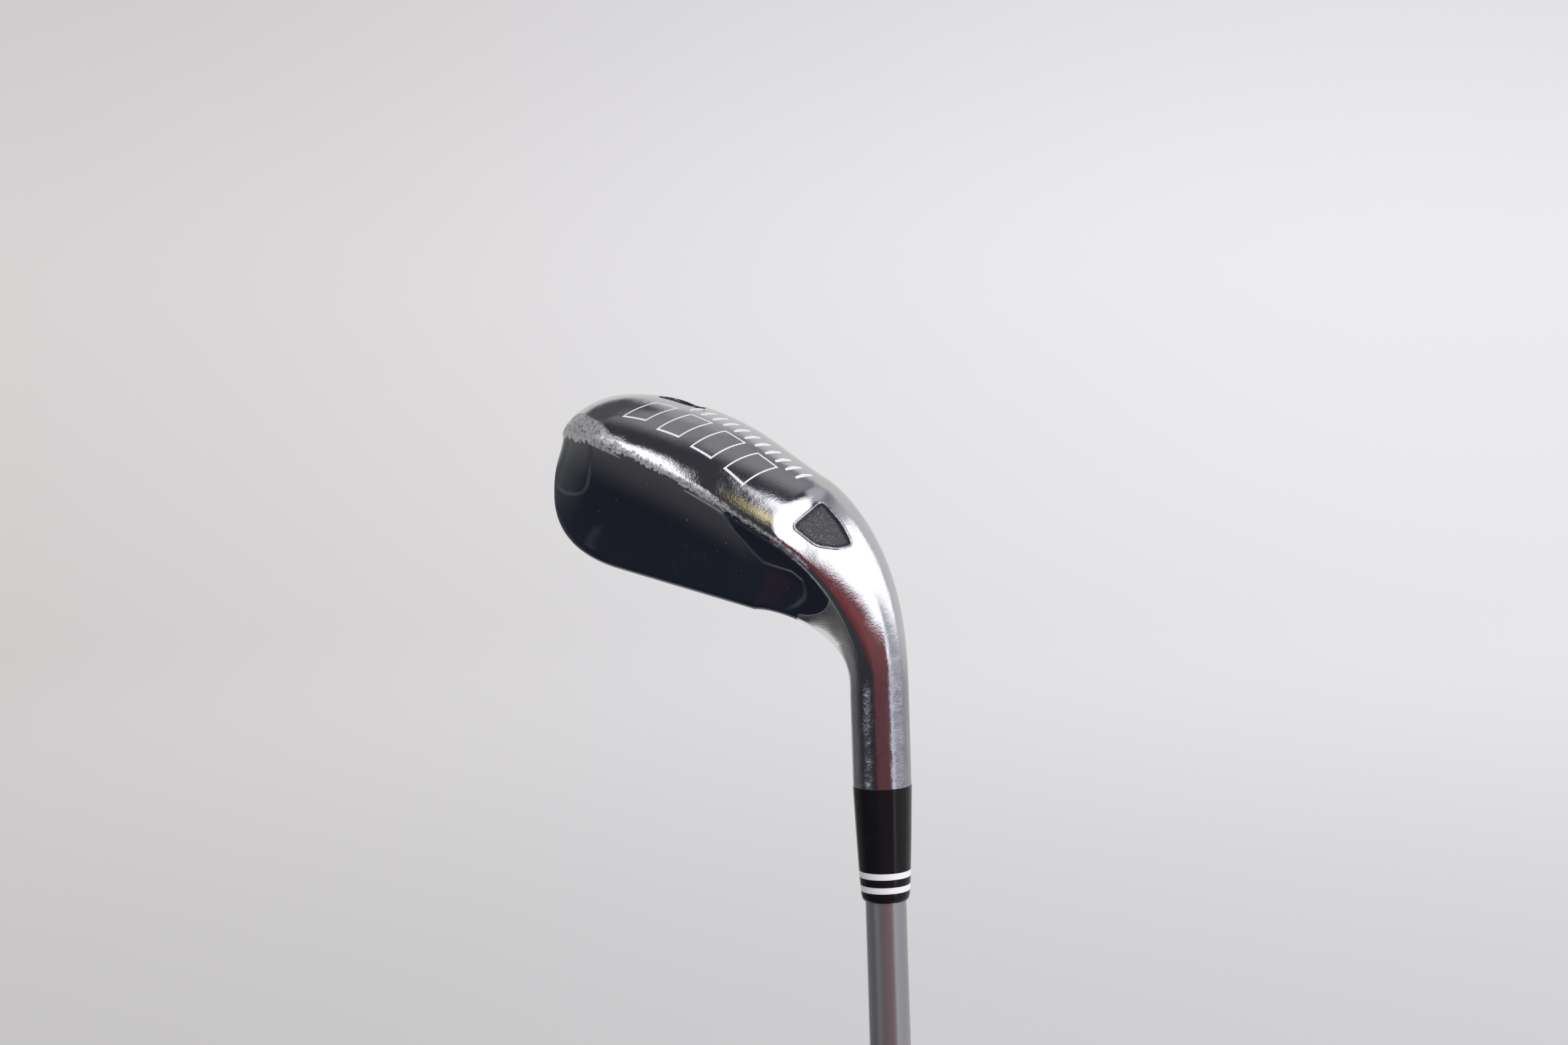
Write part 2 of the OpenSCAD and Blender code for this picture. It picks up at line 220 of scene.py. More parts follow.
def head_grid():
    """Rings of the head from the toe to the ferrule end of the hosel, as rows, columns, xyz."""
    rings = []
    for row in range(BLADE_ROWS + 1):
        x = PIVOT_X + (TOE_X * TOE_END - PIVOT_X) * cos(pi / 2 * row / BLADE_ROWS)
        rings.append(place(x, *section(x).T))
    turns = np.radians(np.concatenate([line_pts(TURN[k], TURN[k + 1], STEPS[k])[:, 0] for k in range(8)]))
    round_b, round_r = HOSEL_R * np.cos(turns), NECK_R + HOSEL_R * np.sin(turns)
    for row in range(1, NECK_ROWS + 1):
        t = row / NECK_ROWS
        w = ease(t) ** NECK_POWER
        heel = section(PIVOT_X - NECK_RUN_ON * (1 - exp(-NECK_BEND * t / NECK_RUN_ON)))
        b = lerp(heel[:, 0], round_b, w)
        r = lerp(PIVOT_H - heel[:, 1], round_r, w)
        left = LIE * (1 - t)
        rings.append(np.stack([NECK_R - r * cos(left), b, CLUB_LEN + PIVOT_Z + r * sin(left)], -1))
    for row in range(1, HOSEL_ROWS + 1):
        z = lerp(CLUB_LEN + PIVOT_Z, HOSEL_Z, row / HOSEL_ROWS)
        rings.append(np.stack([NECK_R - round_r, round_b, np.full(len(turns), z)], -1))
    return np.array(rings)


def grid_normals(grid):
    around = np.roll(grid, -1, axis=1) - np.roll(grid, 1, axis=1)
    n = np.cross(np.gradient(grid, axis=0), around)
    return n / np.maximum(norm(n, axis=-1, keepdims=True), 1e-9)


GRID = head_grid()
NORMAL = grid_normals(GRID)
# Distance round each ring from its start
AROUND = np.concatenate(
    [np.zeros((len(GRID), 1)), np.cumsum(norm(np.diff(GRID, axis=1), axis=2), axis=1)], axis=1)
# Distance along the ground towards the toe
GROUND_X = GRID[..., 0] * sin(LIE) + (GRID[..., 2] - CLUB_LEN) * cos(LIE)


# ---- mesh helpers
def new_object(name, verts, faces, sharp=180):
    """An object with its points in mm, shaded smooth up to an angle between its faces, or flat for 0."""
    mesh = bpy.data.meshes.new(name)
    mesh.from_pydata((np.asarray(verts) * MM).tolist(), [], [list(map(int, f)) for f in faces])
    mesh.update()
    if sharp:
        mesh.shade_smooth()
    if 0 < sharp < 180:
        mesh.set_sharp_from_angle(angle=radians(sharp))
    piece = bpy.data.objects.new(name, mesh)
    bpy.context.scene.collection.objects.link(piece)
    return piece


def add_values(piece, index, **layers):
    """Gives a piece's vertices the values of a grid, by each vertex's index in that grid."""
    for name, values in layers.items():
        layer = piece.data.attributes.new(name, "FLOAT", "POINT")
        layer.data.foreach_set("value", values.reshape(-1)[index].astype(np.float32))


def quads(rows, cols, closed, start=0):
    """Faces of a grid of vertices; a closed grid joins its last column to its first."""
    wide = cols if closed else cols - 1
    spots = [(start + r * cols, c, (c + 1) % cols) for r in range(rows - 1) for c in range(wide)]
    return [(a + c, a + cols + c, a + cols + d, a + d) for a, c, d in spots]


def ring_quads(rows, cols):
    """Faces of a grid of vertices that is closed both ways."""
    here = [(r * cols, (r + 1) % rows * cols, c, (c + 1) % cols) for r in range(rows) for c in range(cols)]
    return [(a + c, a + d, b + d, b + c) for a, b, c, d in here]


def spun(radius, height, turns):
    """Rings of points round the Z axis, as rings, turns, xyz."""
    radius, height = np.reshape(radius, (-1, 1)), np.reshape(height, (-1, 1))
    angle = np.linspace(0, 2 * pi, turns, endpoint=False)
    return np.stack([radius * np.cos(angle), radius * np.sin(angle), height + 0 * angle], -1)


def lathe(name, profile, segments=128):
    """A ring turned round the Z axis from a closed outline of radius and height, in mm."""
    verts = spun(*np.transpose(profile), segments).reshape(-1, 3)
    piece = new_object(name, verts, ring_quads(len(profile), segments), 40)
    face_outward(piece)
    return piece


def face_outward(piece):
    """Turns a closed piece's faces round if they point inward."""
    check = bmesh.new()
    check.from_mesh(piece.data)
    if check.calc_volume(signed=True) < 0:
        bmesh.ops.reverse_faces(check, faces=check.faces)
        check.to_mesh(piece.data)
    check.free()


def finish_piece(piece, material, slot, *nodes):
    piece.data.materials.clear()
    piece.data.materials.append(material)
    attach(piece, BODY)
    if nodes:
        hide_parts(*nodes)


# ---- outlines and cutters
AT_ADDRESS = Matrix.Translation((0, 0, CLUB_LEN)) @ Matrix.Rotation(LIE - pi / 2, 4, "Y")

POCKET_CORNER_R = 1.3
INLAY_T = 1.2
INLAY_SINK = 1.1
PAD_DROP = 0.35
HEEL_AT, HEEL_TURN = (0.65, 14.2, -8.75), (-2, 61, 117)
HEEL_OUTLINE = ((-6.2, -3.4), (-2.9, 2.4), (0.7, 6.4), (2.7, 3.7), (3.8, -1.2), (1.6, -7.7))
TOE_AT, TOE_TURN = (48, 6.5, -0.75), (7, 12, 0)
TOE_OUTLINE = ((-6.5, 4.2), (0, 5), (6.5, 4.4), (7, 2.5), (1.5, -4.6), (-1, -4.6))


def pocket_frame(at, turn):
    rx, ry, rz = (radians(a) for a in turn)
    turned = Matrix.Rotation(rz, 4, "Z") @ Matrix.Rotation(ry, 4, "Y") @ Matrix.Rotation(rx, 4, "X")
    return AT_ADDRESS @ Matrix.Translation(at) @ turned


def moved(points, frame4):
    m = np.array(frame4)
    return np.asarray(points, float) @ m[:3, :3].T + m[:3, 3]


def rounded(points, radius, steps=6):
    """An outline with each corner replaced by a short bend."""
    points = np.asarray(points, float)
    out = []
    for i, p in enumerate(points):
        a, b = toward(p, points[i - 1], radius), toward(p, points[(i + 1) % len(points)], radius)
        out.append(bend_pts(a, p, b, steps))
        out.append(b[None])
    return np.vstack(out)


def inside_distance(points, outline):
    """Distance from 2-D points to a closed outline, positive inside it."""
    outline = np.asarray(outline, float)
    flat = np.asarray(points, float).reshape(-1, 2)
    best = np.full(len(flat), 1e9)
    inside = np.zeros(len(flat), bool)
    for a, b in zip(outline, np.roll(outline, -1, axis=0)):
        edge = b - a
        t = np.clip(((flat - a) @ edge) / max(edge @ edge, 1e-9), 0, 1)
        best = np.minimum(best, norm(flat - a - t[:, None] * edge, axis=1))
        crosses = (a[1] > flat[:, 1]) != (b[1] > flat[:, 1])
        with np.errstate(divide="ignore", invalid="ignore"):
            at = (b[0] - a[0]) * (flat[:, 1] - a[1]) / (b[1] - a[1]) + a[0]
        inside ^= crosses & (flat[:, 0] < at)
    return np.where(inside, best, -best).reshape(np.shape(points)[:-1])


def prism(outline, low, high, frame4):
    """Vertices and faces of an outline drawn out from low to high in a frame."""
    outline = np.asarray(outline, float)
    x, y = outline.T
    if np.sum(x * np.roll(y, -1) - y * np.roll(x, -1)) < 0:
        outline = outline[::-1]
    n = len(outline)
    verts = [moved(np.column_stack([outline, np.full(n, z)]), frame4) for z in (low, high)]
    faces = [range(n - 1, -1, -1), range(n, 2 * n)]
    faces += [(i, (i + 1) % n, n + (i + 1) % n, n + i) for i in range(n)]
    return np.vstack(verts), faces


def joined(parts):
    verts, faces, start = [], [], 0
    for v, f in parts:
        verts.append(v)
        faces += [tuple(start + i for i in face) for face in f]
        start += len(v)
    return np.vstack(verts), faces


HEEL_FRAME, TOE_FRAME = pocket_frame(HEEL_AT, HEEL_TURN), pocket_frame(TOE_AT, TOE_TURN)
POCKETS = {"heel_inlay": (HEEL_OUTLINE, HEEL_FRAME), "toe_inlay": (TOE_OUTLINE, TOE_FRAME)}


def in_frame(points, frame4):
    """Club-frame points seen in a pocket's own frame."""
    return moved(points, frame4.inverted())


# ---- shape of the shell
DISH_DEPTH = 0.6
DISH_REACH = 5
SEAT_DEPTH = 1


def dish():
    """How far the sole sinks in a dish on the toe side of the heel pocket."""
    local = in_frame(GRID, HEEL_FRAME)
    distance = -inside_distance(local[..., :2], HEEL_OUTLINE)
    facing = NORMAL @ np.array(HEEL_FRAME)[:3, 2]
    toe_side = ease((GROUND_X + 1) / 8)
    near = 1 - ease(np.maximum(distance, 0) / DISH_REACH)
    return DISH_DEPTH * near * toe_side * ease((facing - 0.1) / 0.5)


def wear_and_highlight_width(x):
    """How far the rubbed band reaches over the ridge on to the sole, in mm; it is partly a painted
    highlight along the ridge's rounded edge.
    """
    return 1.3 + 3 * ease((x - 50) / 12) - 0.8 * ease((32 - x) / 14) - 2.4 * ease((2 - x) / 6)


FROM_RIDGE = AROUND - AROUND[:, RIDGE_COL:RIDGE_COL + 1]
FROM_TOP = AROUND - AROUND[:, TOP_COL:TOP_COL + 1]


def shell_grid():
    """The head's outside with the crown seat and the dish sunk into it, and its normals."""
    cols = np.arange(GRID.shape[1])
    rows = np.arange(len(GRID))[:, None]
    across = ease((cols - TOP_COL - 2) / 6) * ease((COL[5] - 2 - cols) / 4)
    heel_end = BLADE_ROWS + 34
    along = ease((rows - 16) / 8) * ease((heel_end - rows) / 8)
    sink = SEAT_DEPTH * across * along + dish()
    grid = GRID - NORMAL * sink[..., None]
    return grid, grid_normals(grid)


def skin_faces(rows, cols):
    """A tube of faces with both ends closed."""
    return quads(rows, cols, True) + [range(cols), range(rows * cols - 1, (rows - 1) * cols - 1, -1)]


def face_plate_seat():
    """The box that the face plate fills, as the hull of the plate, a little larger."""
    hull = bmesh.new()
    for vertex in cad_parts["face_plate"].data.vertices:
        hull.verts.new(vertex.co)
    bmesh.ops.remove_doubles(hull, verts=hull.verts, dist=1e-6)
    bmesh.ops.convex_hull(hull, input=hull.verts)
    bmesh.ops.delete(hull, geom=[v for v in hull.verts if not v.link_faces], context="VERTS")
    hull.verts.index_update()
    verts = np.array([v.co for v in hull.verts]) / MM
    middle = verts.mean(axis=0)
    span = norm(verts - middle, axis=1, keepdims=True)
    verts = verts + (verts - middle) / span * 0.06
    faces = [[v.index for v in f.verts] for f in hull.faces]
    hull.free()
    return verts, faces


def cut(piece, parts):
    """Takes closed cutters out of a piece, exactly, giving the cut faces the second material."""
    verts, faces = joined(parts)
    cutter = new_object("cutter", verts, faces, 0)
    for _ in range(2):
        cutter.data.materials.append(None)
    cutter.data.polygons.foreach_set("material_index", [1] * len(cutter.data.polygons))
    tool = piece.modifiers.new("cut", "BOOLEAN")
    tool.operation, tool.solver, tool.object = "DIFFERENCE", "EXACT", cutter
    bpy.context.view_layer.objects.active = piece
    with bpy.context.temp_override(object=piece, active_object=piece):
        bpy.ops.object.modifier_apply(modifier=tool.name)
    bpy.data.objects.remove(cutter)


def point_tree(points):
    tree = KDTree(len(points))
    for i, p in enumerate(points):
        tree.insert(p, i)
    tree.balance()
    return tree


def nearest_rows(mesh, grid):
    """For each vertex of a mesh, the index of the nearest point of a grid."""
    tree = point_tree(grid.reshape(-1, 3) * MM)
    return np.array([tree.find(v.co)[1] for v in mesh.vertices])


def read(items, name):
    values = np.empty(len(items), int)
    items.foreach_get(name, values)
    return values


def make_shell():
    """The head's skin with its bore, face seat and pockets cut out, and its normals taken from the grid."""
    grid, normal = shell_grid()
    shell = new_object("head_shell", grid.reshape(-1, 3), skin_faces(*grid.shape[:2]))
    for _ in range(2):
        shell.data.materials.append(None)
    bore = prism(spun(HOSEL_BORE_R, 0, 72)[0, :, :2], HOSEL_Z - 3, HOSEL_Z + 32, Matrix.Identity(4))
    pockets = [prism(rounded(outline, POCKET_CORNER_R), -INLAY_SINK - INLAY_T, 8, where)
               for outline, where in POCKETS.values()]
    cut(shell, [bore, face_plate_seat()] + pockets)
    index = nearest_rows(shell.data, grid)
    mesh = shell.data
    mesh.set_sharp_from_angle(angle=radians(35))
    corner = np.array([n.vector[:] for n in mesh.corner_normals])
    owner = np.repeat(read(mesh.polygons, "material_index"), read(mesh.polygons, "loop_total"))
    wanted = normal.reshape(-1, 3)[index[read(mesh.loops, "vertex_index")]]
    smooth = (owner == 0) & (np.einsum("ij,ij->i", corner, wanted) > 0.5)
    corner[smooth] = wanted[smooth]
    mesh.normals_split_custom_set(corner.tolist())
    add_values(shell, index, from_ridge=FROM_RIDGE, worn=wear_and_highlight_width(GROUND_X), toe_side=GROUND_X,
               up_hosel=GRID[..., 2] - HOSEL_Z)
    return shell, grid


# ---- crown panel
PANEL_ROWS = BLADE_ROWS + 62
PANEL_LIFT, PANEL_THICK = 0.03, 0.8
RELIEF_DEPTH = 0.42
RELIEF_STEP = 1.3
RELIEF_FADE = 11
# A painted grey sheen, a reflection painted into the black paint, lies beside the ridge, fading between
# these distances, mm
SHEEN_FROM, SHEEN_TO = 1.5, 12
# A fainter painted highlight lies along the raised pads' edges, this far each side
PAD_LIP_W, PAD_LIP_HIGHLIGHT = 0.7, 0.8
HEEL_TIP = (1, 13.4, 24.6)
HEEL_TIP_R = 6.3
# Raised pads of the crown, in mm to the toe and up: under the heel pocket, and at the toe
HEEL_PAD = ((24.5, 13.5), (19.7, 17.5), (16.6, 19), (14, 20.5), (11, 21.6), (8, 21.3), (4.5, 20.9),
            (1.6, 22), (0.4, 24.5), (0.5, 26.5), (1.6, 28.5), (3.3, 30.5), (4, 40), (-20, 40), (-20, 0),
            (24.5, 0))
TOE_PAD = ((60.6, 0), (60.4, 16.3), (59.7, 19.6), (58.9, 22.6), (58.5, 25.6), (59.2, 27.8), (61.1, 29.4),
           (64.5, 31), (90, 34), (90, 0))


def curve_distance(points, line):
    """Distance from points to a line given by points, each of its steps cut in four."""
    tree = point_tree(np.vstack([line_pts(a, b, 4) for a, b in zip(line[:-1], line[1:])] + [line[-1:]]))
    return np.array([tree.find(p)[2] for p in points.reshape(-1, 3)]).reshape(points.shape[:-1])


def soft_least(a, b, r):
    """The lesser of two distances, with the corner where they meet rounded by r."""
    u, v = np.maximum(r - a, 0), np.maximum(r - b, 0)
    return np.minimum(np.maximum(a, r), np.maximum(b, r)) - np.sqrt(u * u + v * v)


def paint_edge(points):
    """Signed distance in mm from the edge of the black paint, positive on the paint."""
    ground = in_frame(points, AT_ADDRESS)
    x = ground[..., 0]
    from_ridge = curve_distance(points, GRID[:PANEL_ROWS + 8, RIDGE_COL])
    from_top = curve_distance(points, GRID[:PANEL_ROWS + 8, TOP_COL])
    inset = 0.6 + 2 * ease((x - 56) / 10) - 1.2 * ease((x - 68) / 4) + 0.7 * ease((14 - x) / 10)
    paint = soft_least(from_ridge - inset, from_top - 0.35 - 0.75 * ease((x - 50) / 15), 3)
    away = norm(points - place(*HEEL_TIP), axis=-1)
    return np.minimum(paint, np.where(x < HEEL_TIP[0], HEEL_TIP_R - away, 30))


def make_crown():
    """The crown as a thin shaped plate over its seat, from the topline corner to the ridge."""
    first, last = TOP_COL, COL[5] + 4
    rows = slice(1, PANEL_ROWS)
    base, normal = GRID[rows, first:last + 1], NORMAL[rows, first:last + 1]
    flat = in_frame(base, AT_ADDRESS)
    plan = np.stack([flat[..., 0], -flat[..., 2]], -1)
    on_heel_pad, on_toe_pad = inside_distance(plan, HEEL_PAD), inside_distance(plan, TOE_PAD)
    pads = np.maximum(on_heel_pad, on_toe_pad)
    paint = paint_edge(base)
    from_ridge, from_top = -FROM_RIDGE[rows, first:last + 1], FROM_TOP[rows, first:last + 1]
    margin = ease((from_ridge - 0.2) / 4) * ease((from_top - 0.5) / 10)
    sunk = RELIEF_DEPTH * margin * ease((RELIEF_STEP / 2 - pads) / RELIEF_STEP)
    sunk = sunk * (1 - ease((-pads - 1) / RELIEF_FADE))
    # Painted sheen: a grey reflection painted on the black paint near the ridge
    haze = (1 - ease((from_ridge - SHEEN_FROM) / (SHEEN_TO - SHEEN_FROM))) * ease(0.5 - on_heel_pad)
    haze = haze * ease((flat[..., 0] - 9) / 9)
    # A painted highlight along the raised pads' edges, away from the ridge and the topline
    pad_lip_highlight = ease(1 - np.abs(pads) / PAD_LIP_W) * ease((from_ridge - 4) / 3) * ease((from_top - 2) / 4)
    haze = np.maximum(haze, PAD_LIP_HIGHLIGHT * pad_lip_highlight)
    n_rows, n_cols = base.shape[:2]
    v = np.linspace(0, 1, n_cols)
    u = np.linspace(0, 1, n_rows)[:, None]
    rim = np.minimum(np.minimum(v, 1 - v) * n_cols / 2, np.minimum(u, 1 - u) * n_rows / 2)
    lift = PANEL_LIFT * ease(rim)
    top = base + normal * (lift - sunk)[..., None]
    thick = lift + PANEL_THICK * ease(rim / 6) + 0.02
    under = base + normal * (lift - thick - 0.4 * sunk)[..., None]
    count = n_rows * n_cols
    faces = quads(n_rows, n_cols, False) + [f[::-1] for f in quads(n_rows, n_cols, False, count)]
    at = np.arange(count).reshape(n_rows, n_cols)
    edge = [*at[0, :-1], *at[:-1, -1], *at[-1, :0:-1], *at[:0:-1, 0]]
    faces += [(a, b, count + b, count + a) for a, b in zip(edge, edge[1:] + edge[:1])]
    panel = new_object("crown_panel_skin", np.vstack([top.reshape(-1, 3), under.reshape(-1, 3)]), faces, 50)
    toe_side = flat[..., 0]
    add_values(panel, np.tile(np.arange(count), 2), paint=paint, haze=haze, from_ridge=-from_ridge,
               worn=wear_and_highlight_width(toe_side), toe_side=toe_side, up_hosel=base[..., 2] - HOSEL_Z)
    return panel


# ---- inlays
# How far a pad drops at its edge, rises to its middle, and is rough, mm
PAD_ROUND, PAD_PILLOW, PAD_GRAIN = 0.28, 0.1, 0.008


def make_inlay(name, outline, frame4):
    """A pillowed pad of grainy compound that fills the bottom of its pocket."""
    rings, steps = [], 26
    outline = rounded(outline, POCKET_CORNER_R, 8)
    middle = outline.mean(axis=0)
    for i in range(steps + 1):
        t = 1 - i / steps * 0.985
        ring = lerp(middle, outline, t)
        edge = inside_distance(ring, outline)
        rng = np.random.default_rng(7 + i)
        z = -INLAY_SINK - PAD_DROP - PAD_ROUND * (1 - ease(edge / 0.9)) + PAD_PILLOW * ease(edge / 2.5)
        z = z + PAD_GRAIN * rng.uniform(-1, 1, len(ring)) * (edge > 0.2)
        rings.append(np.column_stack([ring, z]))
    base = np.column_stack([outline, np.full(len(outline), -INLAY_SINK - INLAY_T + 0.1)])
    verts = moved(np.vstack([base] + rings), frame4)
    piece = new_object(name, verts, skin_faces(steps + 2, len(outline)), 60)
    face_outward(piece)
    return piece


# ---- painted marks on the sole
MARK_LINE_W = 0.32
STROKE_W = 1
# Number of bars and of strokes, where the first starts towards the toe, and the pitch, mm
BARS, BAR_X, BAR_PITCH = 4, 18, 9.6
STROKES, STROKE_X, STROKE_PITCH = 11, 11.5, 3.1
BAR_SLANT, BAR_WIDE = 3.4, 5.6
MARK_LIFT = 0.03


def on_sole(tree, x, b):
    """The point of the sole straight below a place on the ground plan, and its normal."""
    below, level = place(x, b, -15), place(x, b, 0)
    return tree.ray_cast(Vector(below) * MM, Vector(level - below).normalized())[:2]


def unit(v):
    return v / max(norm(v), 1e-6)


def ribbon(tree, path, width, closed):
    """A flat line of paint on the sole along a path of ground-plan points; an open one has thin ends."""
    path = [np.asarray(p, float) for p in path]
    if closed:
        path.append(path[0])
    points = []
    for a, b in zip(path[:-1], path[1:]):
        points += list(line_pts(a, b, max(2, int(norm(b - a) / 0.5))))
    if not closed:
        points.append(path[-1])
    count = len(points)
    verts, faces = [], []
    for i, p in enumerate(points):
        before = points[i - 1] if i or closed else p
        after = points[(i + 1) % count] if i < count - 1 or closed else p
        ahead, behind = unit(after - p), unit(p - before)
        run = unit(ahead + behind)
        side = np.array([-run[1], run[0]])
        miter = 1 / max(0.45, abs(side @ np.array([-ahead[1], ahead[0]])) or 1)
        half = width / 2 * (miter if 0 < i < count - 1 or closed else 1)
        if not closed:
            half *= 0.45 + 0.55 * sin(pi * (i + 0.5) / count)
        for sign in (1, -1):
            hit, normal = on_sole(tree, *(p + side * half * sign))
            verts += [np.array(hit + normal * lift * MM) / MM for lift in (MARK_LIFT, -MARK_LIFT)]
    for i in range(count if closed else count - 1):
        a, b = 4 * i, 4 * ((i + 1) % count)
        faces += [(a, b, b + 2, a + 2), (a + 1, a + 3, b + 3, b + 1)]
        faces += [(a, a + 1, b + 1, b), (a + 2, b + 2, b + 3, a + 3)]
    if not closed:
        end = 4 * (count - 1)
        faces += [(0, 2, 3, 1), (end, end + 1, end + 3, end + 2)]
    return np.array(verts), faces


def make_marks(tree):
    """Plain slanted bars in outline, and a row of short slanted strokes beside them."""
    parts = []
    for i in range(BARS):
        x = BAR_X + BAR_PITCH * i
        bow = (i - 1.5) ** 2
        low, high = 14.6 - 0.09 * bow, 21.6 - 0.25 * bow
        bar = [(x, low), (x + BAR_WIDE, low + 0.3)]
        bar += [(x + BAR_WIDE + BAR_SLANT, high), (x + BAR_SLANT, high - 0.3)]
        parts.append(ribbon(tree, bar, MARK_LINE_W, True))
    for i in range(STROKES):
        x = STROKE_X + STROKE_PITCH * i
        parts.append(ribbon(tree, [(x, 9.2), (x + 1, 11.2), (x + 1.7, 13.4)], STROKE_W, False))
    verts, faces = joined(parts)
    piece = new_object("sole_marks", verts, faces, 0)
    face_outward(piece)
    return piece


def even_steps(outline, step):
    """The same closed outline with its points evenly spaced."""
    closed = np.vstack([outline, outline[:1]])
    at = np.concatenate([[0], np.cumsum(norm(np.diff(closed, axis=0), axis=1))])
    where = np.linspace(0, at[-1], int(at[-1] / step), endpoint=False)
    return np.column_stack([np.interp(where, at, closed[:, k]) for k in (0, 1)])


RIM_PROFILE = ((0.55, 0), (0.3, 0.05), (0.06, 0.03), (-0.08, -0.1), (-0.12, -0.35))


def make_rim(tree):
    """The heel pocket's rounded edge, as a thin strip that follows the surface round its outline."""
    outline = even_steps(rounded(HEEL_OUTLINE, POCKET_CORNER_R, 10), 0.3)
    run = np.roll(outline, -1, axis=0) - np.roll(outline, 1, axis=0)
    run /= norm(run, axis=1, keepdims=True)
    outward = np.column_stack([run[:, 1], -run[:, 0]])
    if inside_distance(outline[:1] + outward[:1] * 0.2, outline)[0] > 0:
        outward = -outward
    down = -(HEEL_FRAME.to_3x3() @ Vector((0, 0, 1)))
    rings = []
    for offset, lift in RIM_PROFILE:
        ring = []
        for x, y in outline + outward * offset:
            hit, _, _, _ = tree.ray_cast((HEEL_FRAME @ Vector((x, y, 8))) * MM, down)
            ring.append(np.array(hit) / MM - np.array(down) * lift)
        rings.append(np.array(ring))
    under = [ring + np.array(down) * 0.06 for ring in rings[::-1]]
    faces = ring_quads(2 * len(rings), len(outline))
    piece = new_object("heel_pocket_rim", np.vstack(rings + under), faces, 70)
    face_outward(piece)
    return piece


# ---- ferrule, shaft and grip
def node_span(node):
    """Where a CAD node starts and ends along the shaft, mm."""
    return [corner.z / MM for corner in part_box(node)]


FERRULE_BORE_R, FERRULE_NOSE_R = 4.8, 5.7


def make_ferrule():
    """The five turned rings between hosel and shaft, each rounded a little at its edges."""
    out = {}
    edge = 0.1
    nose_z = node_span("ferrule_nose")[1]

    def radius(z):
        along = max(0, min(1, (z - nose_z) / (HOSEL_Z - nose_z)))
        return lerp(FERRULE_NOSE_R, HOSEL_R + 0.08, along**0.75)

    for node in ("ferrule_sleeve", "ferrule_ring_front", "ferrule_spacer", "ferrule_ring_rear"):
        low, high = node_span(node)
        wall = [(radius(z), z) for z in np.linspace(low + edge, high - edge, 12)]
        wall = [(radius(low) - edge, low)] + wall + [(radius(high) - edge, high)]
        out[node] = lathe(node + "_turned", [(FERRULE_BORE_R, low)] + wall + [(FERRULE_BORE_R, high)])
    low, high = node_span("ferrule_nose")
    swing = np.radians(np.linspace(0, 90, 14))
    start = FERRULE_BORE_R + edge
    wall = [(start + (radius(high) - start) * sin(a), low + (high - low - edge) * (1 - cos(a)))
            for a in swing]
    wall = [(FERRULE_BORE_R, low)] + wall + [(radius(high) - edge, high), (FERRULE_BORE_R, high)]
    out["ferrule_nose"] = lathe("ferrule_nose_turned", wall)
    return out


TIP_R, BUTT_R, SHAFT_WALL, TIP_STRAIGHT = 4.75, 7.6, 1.2, 75


def shaft_radius(z):
    """Radius of the shaft's outside, tapered from the butt to the straight tip."""
    return lerp(BUTT_R, TIP_R, np.clip(z / (node_span("shaft")[1] - TIP_STRAIGHT), 0, 1))


def make_shaft():
    low, high = node_span("shaft")
    outer = [(float(shaft_radius(z)), z) for z in np.linspace(low + 0.3, high - 0.6, 80)]
    inner_r = TIP_R - SHAFT_WALL - 1
    outline = ([(BUTT_R - SHAFT_WALL, low), (BUTT_R - 0.3, low)] + outer
               + [(TIP_R - 0.5, high), (inner_r, high), (inner_r, high - TIP_STRAIGHT)])
    return lathe("shaft_tube", outline, 96)


GRIP_BUTT_R, GRIP_MOUTH_R = 13.6, 9.1
GRIP_PITCH, GROOVE_DEPTH, RING_DEPTH = 5.2, 0.32, 0.3


def make_grip():
    """A tapered rubber sleeve with moulded bands of crossed grooves and a plain raised mouth."""
    low, high = node_span("grip_sleeve")
    body_rows, turns = 560, 168
    z = np.linspace(low + 0.25, high - 0.6, body_rows)
    taper = [GRIP_BUTT_R, GRIP_BUTT_R - 0.3, GRIP_MOUTH_R + 0.3, GRIP_MOUTH_R]
    straight = np.interp(z, [low, 40, high - 14, high], taper)
    zz, aa = np.meshgrid(z, np.linspace(0, 2 * pi, turns, endpoint=False), indexing="ij")
    lean_left, lean_right = (np.abs(np.sin(pi * zz / GRIP_PITCH + turn * aa)) for turn in (6, -6))
    crossed = np.minimum(lean_left, lean_right)
    groove = GROOVE_DEPTH * (1 - ease(crossed / 0.28))
    zone = ease((zz - low - 9) / 1.5) * ease((high - 24 - zz) / 1.5)
    # Each ring pressed into the rubber: where it is, and its half width
    rings = [(high - step, 0.6) for step in (13.5, 17, 20.5)] + [(low + 4, 0.5), (low + 6.5, 0.5)]
    for centre in (0.36, 0.68):
        middle = low + (high - low) * centre
        zone = zone * ease(np.abs(zz - middle) - 7)
        rings += [(middle + step, 0.55) for step in (-5.2, -2.6, 0, 2.6, 5.2)]
    bands = np.zeros_like(zz)
    for at, half in rings:
        bands = np.maximum(bands, RING_DEPTH * (1 - ease(np.abs(zz - at) / half)))
    radius = straight[:, None] - np.maximum(groove * zone, bands)
    wall = np.stack([radius * np.cos(aa), radius * np.sin(aa), zz], -1)
    inner_low, inner_high = float(shaft_radius(low)) + 0.32, float(shaft_radius(high)) + 0.32
    butt = spun([inner_low, GRIP_BUTT_R - 0.25], [low, low], turns)
    mouth = spun([GRIP_MOUTH_R - 0.25, GRIP_MOUTH_R - 0.8, inner_high], [high - 0.2, high, high], turns)
    rings = np.concatenate([butt, wall, mouth])
    faces = [f[1:] + f[:1] for f in ring_quads(len(rings), turns)]
    piece = new_object("grip_sleeve_moulded", rings.reshape(-1, 3), faces, 55)
    face_outward(piece)
    return piece


